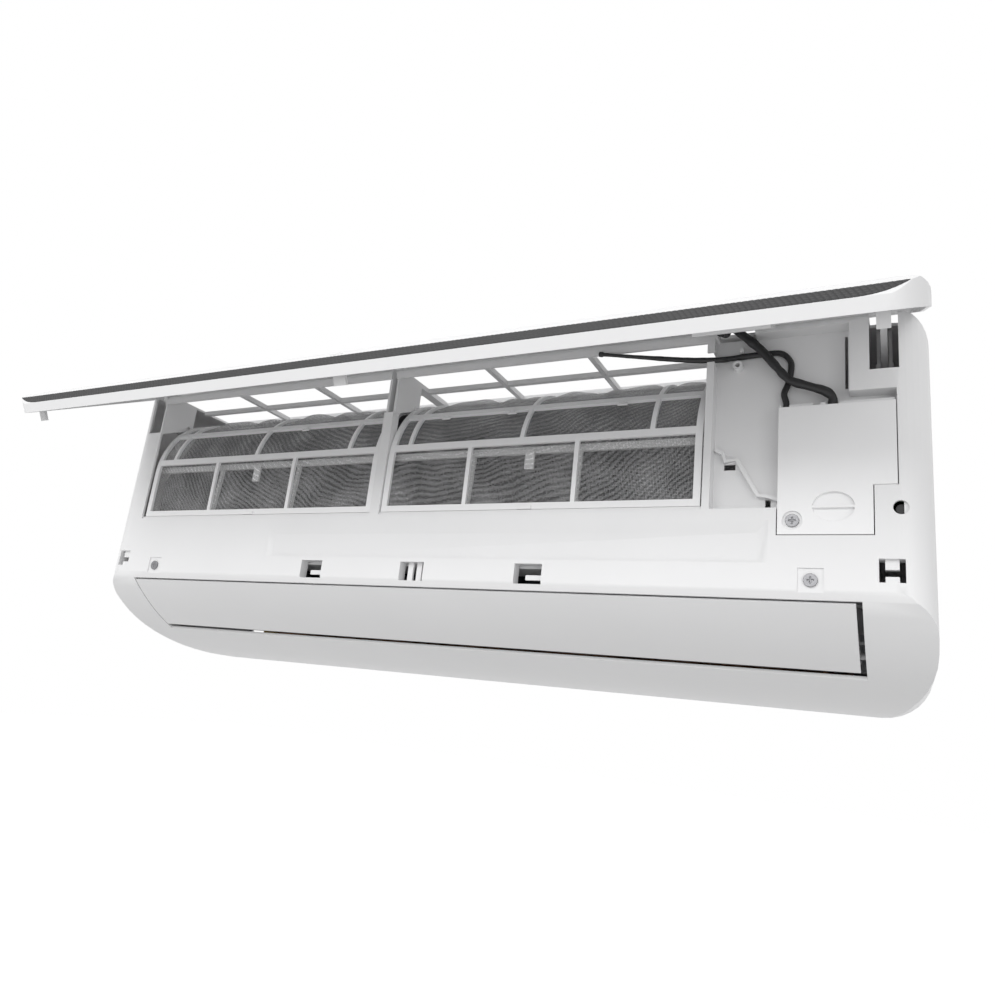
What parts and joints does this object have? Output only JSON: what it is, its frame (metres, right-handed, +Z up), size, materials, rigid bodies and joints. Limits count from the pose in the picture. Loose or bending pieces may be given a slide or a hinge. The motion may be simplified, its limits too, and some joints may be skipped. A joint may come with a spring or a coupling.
{
  "type": "mini split indoor unit",
  "caption": "Wall-hung air conditioner indoor unit with its front panel open, curved lift-out filters, electrical bay, outlet louver, vanes, cross-flow fan and finned coil.",
  "frame": {"origin": "the middle of the wall plate, on the face that meets the wall", "axes": "+X along the unit to its right-hand end as seen from the room, +Y into the wall, +Z up"},
  "size_m": [0.855, 0.3414, 0.317],
  "materials": {
    "white_plastic": "satin white moulded plastic",
    "casing_plastic": "fine satin white plastic",
    "inner_plastic": "light grey moulded plastic",
    "filter_plastic": "white plastic frame",
    "filter_mesh": "fine woven nylon net",
    "dark_trim": "dark moulded relief strip",
    "black_lead": "soft black lead",
    "steel": "zinc plated steel",
    "fins": "dark coated aluminium fins",
    "copper": "bare copper",
    "brass": "machined brass",
    "fan_plastic": "dark grey plastic",
    "board": "coated circuit board",
    "dark_plastic": "black plastic",
    "soft_rubber": "moulded rubber"
  },
  "bodies": {
    "base": {"wall_plate": "steel", "rear_chassis": "inner_plastic", "front_casing": "casing_plastic", "drain_pan": "inner_plastic", "drain_plug": "soft_rubber", "coil_front_lower": "fins", "coil_front_upper": "fins", "coil_rear": "fins", "coil_bridge": "fins", "coil_tubes": "copper", "tube_sheets": "steel", "gas_pipe": "copper", "liquid_pipe": "copper", "flare_nuts": "brass", "fan_bearing": "soft_rubber", "fan_motor": "steel", "motor_cover": "inner_plastic", "electrical_box": "inner_plastic", "circuit_board": "board", "terminal_block": "dark_plastic", "bay_plate": "casing_plastic", "electrical_cover": "white_plastic", "cover_screw": "steel", "casing_screws": "steel", "sensor_lead": "black_lead", "display_cable": "black_lead", "louver_motor": "steel", "vane_rail": "inner_plastic"},
    "fan": {"fan_rotor": "fan_plastic", "fan_shaft": "steel"},
    "louver": {"louver": "white_plastic"},
    "filter_left": {"filter_left": "filter_plastic", "mesh_left": "filter_mesh"},
    "filter_right": {"filter_right": "filter_plastic", "mesh_right": "filter_mesh"},
    "panel": {"front_panel": "white_plastic", "trim_strip": "dark_trim", "hinge_arms": "casing_plastic", "display_unit": "inner_plastic", "display_lead": "black_lead"},
    "button": {"test_button": "white_plastic"},
    "link_left": {"vane_link_left": "inner_plastic"},
    "link_right": {"vane_link_right": "inner_plastic"},
    "vane_left_1": {"vane_left_1": "inner_plastic"},
    "vane_left_2": {"vane_left_2": "inner_plastic"},
    "vane_left_3": {"vane_left_3": "inner_plastic"},
    "vane_left_4": {"vane_left_4": "inner_plastic"},
    "vane_left_5": {"vane_left_5": "inner_plastic"},
    "vane_right_1": {"vane_right_1": "inner_plastic"},
    "vane_right_2": {"vane_right_2": "inner_plastic"},
    "vane_right_3": {"vane_right_3": "inner_plastic"},
    "vane_right_4": {"vane_right_4": "inner_plastic"},
    "vane_right_5": {"vane_right_5": "inner_plastic"}
  },
  "joints": [
    {"name": "panel_hinge", "type": "hinge", "parent": "base", "child": "panel", "pos_m": [0, -0.15, 0.106], "axis": [-1, 0, 0], "range_deg": [-63, 5]},
    {"name": "filter_left_lift", "type": "slide", "parent": "base", "child": "filter_left", "axis": [0, 0, 1], "range_m": [0, 0.005]},
    {"name": "filter_right_lift", "type": "slide", "parent": "base", "child": "filter_right", "axis": [0, 0, 1], "range_m": [0, 0.005]},
    {"name": "louver_hinge", "type": "hinge", "parent": "base", "child": "louver", "pos_m": [0, -0.122, -0.12], "axis": [1, 0, 0], "range_deg": [0, 85]},
    {"name": "fan_spin", "type": "hinge", "parent": "base", "child": "fan", "pos_m": [0, -0.082, -0.03], "axis": [1, 0, 0], "continuous": true},
    {"name": "button_press", "type": "slide", "parent": "base", "child": "button", "axis": [0, 1, 0], "range_m": [0, 0.0015], "stiffness_N_per_m": 200},
    {"name": "vane_left_3_swing", "type": "hinge", "parent": "base", "child": "vane_left_3", "pos_m": [-0.19, -0.126, -0.094], "axis": [0, -0.5736, 0.8192], "range_deg": [-30, 30]},
    {"name": "vane_left_1_swing", "type": "hinge", "parent": "base", "child": "vane_left_1", "pos_m": [-0.314, -0.126, -0.094], "axis": [0, -0.5736, 0.8192], "range_deg": [-30, 30]},
    {"name": "vane_left_2_swing", "type": "hinge", "parent": "base", "child": "vane_left_2", "pos_m": [-0.252, -0.126, -0.094], "axis": [0, -0.5736, 0.8192], "range_deg": [-30, 30]},
    {"name": "vane_left_4_swing", "type": "hinge", "parent": "base", "child": "vane_left_4", "pos_m": [-0.128, -0.126, -0.094], "axis": [0, -0.5736, 0.8192], "range_deg": [-30, 30]},
    {"name": "vane_left_5_swing", "type": "hinge", "parent": "base", "child": "vane_left_5", "pos_m": [-0.066, -0.126, -0.094], "axis": [0, -0.5736, 0.8192], "range_deg": [-30, 30]},
    {"name": "link_left_turn", "type": "hinge", "parent": "vane_left_3", "child": "link_left", "pos_m": [-0.19, -0.11781, -0.08826], "axis": [0, -0.5736, 0.8192], "range_deg": [-30, 30]},
    {"name": "vane_right_3_swing", "type": "hinge", "parent": "base", "child": "vane_right_3", "pos_m": [0.19, -0.126, -0.094], "axis": [0, -0.5736, 0.8192], "range_deg": [-30, 30]},
    {"name": "vane_right_1_swing", "type": "hinge", "parent": "base", "child": "vane_right_1", "pos_m": [0.066, -0.126, -0.094], "axis": [0, -0.5736, 0.8192], "range_deg": [-30, 30]},
    {"name": "vane_right_2_swing", "type": "hinge", "parent": "base", "child": "vane_right_2", "pos_m": [0.128, -0.126, -0.094], "axis": [0, -0.5736, 0.8192], "range_deg": [-30, 30]},
    {"name": "vane_right_4_swing", "type": "hinge", "parent": "base", "child": "vane_right_4", "pos_m": [0.252, -0.126, -0.094], "axis": [0, -0.5736, 0.8192], "range_deg": [-30, 30]},
    {"name": "vane_right_5_swing", "type": "hinge", "parent": "base", "child": "vane_right_5", "pos_m": [0.314, -0.126, -0.094], "axis": [0, -0.5736, 0.8192], "range_deg": [-30, 30]},
    {"name": "link_right_turn", "type": "hinge", "parent": "vane_right_3", "child": "link_right", "pos_m": [0.19, -0.11781, -0.08826], "axis": [0, -0.5736, 0.8192], "range_deg": [-30, 30]}
  ],
  "couplings": [
    {"joint": "vane_left_1_swing", "follows": "vane_left_3_swing", "ratio": 1},
    {"joint": "vane_left_2_swing", "follows": "vane_left_3_swing", "ratio": 1},
    {"joint": "vane_left_4_swing", "follows": "vane_left_3_swing", "ratio": 1},
    {"joint": "vane_left_5_swing", "follows": "vane_left_3_swing", "ratio": 1},
    {"joint": "link_left_turn", "follows": "vane_left_3_swing", "ratio": -1},
    {"joint": "vane_right_1_swing", "follows": "vane_right_3_swing", "ratio": 1},
    {"joint": "vane_right_2_swing", "follows": "vane_right_3_swing", "ratio": 1},
    {"joint": "vane_right_4_swing", "follows": "vane_right_3_swing", "ratio": 1},
    {"joint": "vane_right_5_swing", "follows": "vane_right_3_swing", "ratio": 1},
    {"joint": "link_right_turn", "follows": "vane_right_3_swing", "ratio": -1}
  ]
}
